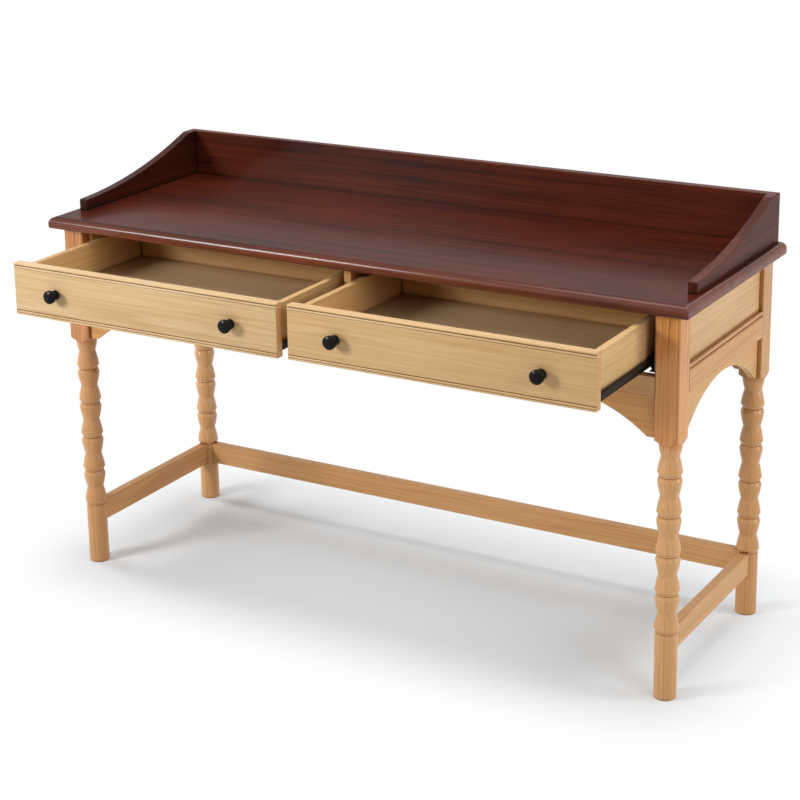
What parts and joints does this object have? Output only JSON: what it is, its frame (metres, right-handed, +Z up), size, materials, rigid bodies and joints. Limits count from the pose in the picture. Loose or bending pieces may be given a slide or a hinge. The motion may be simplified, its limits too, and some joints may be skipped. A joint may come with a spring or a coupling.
{
  "type": "sewing desk",
  "caption": "Shaker sewing desk: pine frame on turned legs with arched aprons, wide drawers on roller slides and a dark stained top with a low swept gallery.",
  "frame": {"origin": "on the floor, under the middle of the bounding box of the desk with its drawers as open as they stand here", "axes": "+X along the desk to the sitter's right, -Y the front where the drawers open, +Z up"},
  "size_m": [1.396, 0.7138, 0.856],
  "materials": {
    "pine": "clear satin varnish on knotless pine",
    "stained_wood": "dark red-brown stain under semi-gloss varnish",
    "box_wood": "pale planed wood, thin satin lacquer",
    "plywood": "birch plywood, thin satin lacquer",
    "beech": "bare planed beech",
    "knob_black": "turned wood, black satin paint",
    "slide_black": "black powder-coated steel sheet",
    "roller_nylon": "moulded black nylon",
    "screw_steel": "zinc-plated steel"
  },
  "bodies": {
    "case": {"centre_partition": "pine", "drawer_guide_left": "pine", "drawer_guide_right": "pine", "front_apron": "pine", "front_rail": "pine", "gallery_back": "stained_wood", "gallery_dowels": "beech", "gallery_left": "stained_wood", "gallery_right": "stained_wood", "left_bay_channel_left": "slide_black", "left_bay_channel_right": "slide_black", "leg_front_left": "pine", "leg_front_right": "pine", "leg_rear_left": "pine", "leg_rear_right": "pine", "rear_apron": "pine", "rear_panel": "pine", "right_bay_channel_left": "slide_black", "right_bay_channel_right": "slide_black", "side_apron_left": "pine", "side_apron_right": "pine", "side_panel_left": "pine", "side_panel_right": "pine", "side_rail_left": "pine", "side_rail_right": "pine", "slide_screws": "screw_steel", "stretcher_left": "pine", "stretcher_rear": "pine", "stretcher_right": "pine", "top_blocks": "beech", "top_screws": "screw_steel", "worktop": "stained_wood"},
    "left_drawer": {"left_drawer_back": "box_wood", "left_drawer_bottom": "plywood", "left_drawer_front": "pine", "left_drawer_knob_screws": "screw_steel", "left_drawer_knobs": "knob_black", "left_drawer_runner_left": "slide_black", "left_drawer_runner_right": "slide_black", "left_drawer_runner_screws": "screw_steel", "left_drawer_side_left": "box_wood", "left_drawer_side_right": "box_wood"},
    "right_drawer": {"right_drawer_back": "box_wood", "right_drawer_bottom": "plywood", "right_drawer_front": "pine", "right_drawer_knob_screws": "screw_steel", "right_drawer_knobs": "knob_black", "right_drawer_runner_left": "slide_black", "right_drawer_runner_right": "slide_black", "right_drawer_runner_screws": "screw_steel", "right_drawer_side_left": "box_wood", "right_drawer_side_right": "box_wood"},
    "left_bay_wheel_left": {"left_bay_roller_left": "roller_nylon"},
    "left_drawer_wheel_left": {"left_drawer_roller_left": "roller_nylon"},
    "left_bay_wheel_right": {"left_bay_roller_right": "roller_nylon"},
    "left_drawer_wheel_right": {"left_drawer_roller_right": "roller_nylon"},
    "right_bay_wheel_left": {"right_bay_roller_left": "roller_nylon"},
    "right_drawer_wheel_left": {"right_drawer_roller_left": "roller_nylon"},
    "right_bay_wheel_right": {"right_bay_roller_right": "roller_nylon"},
    "right_drawer_wheel_right": {"right_drawer_roller_right": "roller_nylon"}
  },
  "joints": [
    {"name": "left_drawer_slide", "type": "slide", "parent": "case", "child": "left_drawer", "axis": [0, -1, 0], "range_m": [-0.224, 0.039]},
    {"name": "right_drawer_slide", "type": "slide", "parent": "case", "child": "right_drawer", "axis": [0, -1, 0], "range_m": [-0.218, 0.045]},
    {"name": "left_bay_wheel_left_turn", "type": "hinge", "parent": "case", "child": "left_bay_wheel_left", "pos_m": [-0.61425, -0.0761, 0.6328], "axis": [1, 0, 0], "range_deg": [-1260, 270]},
    {"name": "left_drawer_wheel_left_turn", "type": "hinge", "parent": "left_drawer", "child": "left_drawer_wheel_left", "pos_m": [-0.61425, 0.0249, 0.6328], "axis": [1, 0, 0], "range_deg": [-1260, 270]},
    {"name": "left_bay_wheel_right_turn", "type": "hinge", "parent": "case", "child": "left_bay_wheel_right", "pos_m": [-0.01375, -0.0761, 0.6328], "axis": [1, 0, 0], "range_deg": [-1260, 270]},
    {"name": "left_drawer_wheel_right_turn", "type": "hinge", "parent": "left_drawer", "child": "left_drawer_wheel_right", "pos_m": [-0.01375, 0.0249, 0.6328], "axis": [1, 0, 0], "range_deg": [-1260, 270]},
    {"name": "right_bay_wheel_left_turn", "type": "hinge", "parent": "case", "child": "right_bay_wheel_left", "pos_m": [0.01375, -0.0761, 0.6328], "axis": [1, 0, 0], "range_deg": [-1260, 270]},
    {"name": "right_drawer_wheel_left_turn", "type": "hinge", "parent": "right_drawer", "child": "right_drawer_wheel_left", "pos_m": [0.01375, 0.0309, 0.6328], "axis": [1, 0, 0], "range_deg": [-1260, 270]},
    {"name": "right_bay_wheel_right_turn", "type": "hinge", "parent": "case", "child": "right_bay_wheel_right", "pos_m": [0.61425, -0.0761, 0.6328], "axis": [1, 0, 0], "range_deg": [-1260, 270]},
    {"name": "right_drawer_wheel_right_turn", "type": "hinge", "parent": "right_drawer", "child": "right_drawer_wheel_right", "pos_m": [0.61425, 0.0309, 0.6328], "axis": [1, 0, 0], "range_deg": [-1260, 270]}
  ],
  "couplings": [
    {"joint": "left_bay_wheel_left_turn", "follows": "left_drawer_slide", "rad_per_m": 95.238},
    {"joint": "left_drawer_wheel_left_turn", "follows": "left_drawer_slide", "rad_per_m": 95.238},
    {"joint": "left_bay_wheel_right_turn", "follows": "left_drawer_slide", "rad_per_m": 95.238},
    {"joint": "left_drawer_wheel_right_turn", "follows": "left_drawer_slide", "rad_per_m": 95.238},
    {"joint": "right_bay_wheel_left_turn", "follows": "right_drawer_slide", "rad_per_m": 95.238},
    {"joint": "right_drawer_wheel_left_turn", "follows": "right_drawer_slide", "rad_per_m": 95.238},
    {"joint": "right_bay_wheel_right_turn", "follows": "right_drawer_slide", "rad_per_m": 95.238},
    {"joint": "right_drawer_wheel_right_turn", "follows": "right_drawer_slide", "rad_per_m": 95.238}
  ]
}
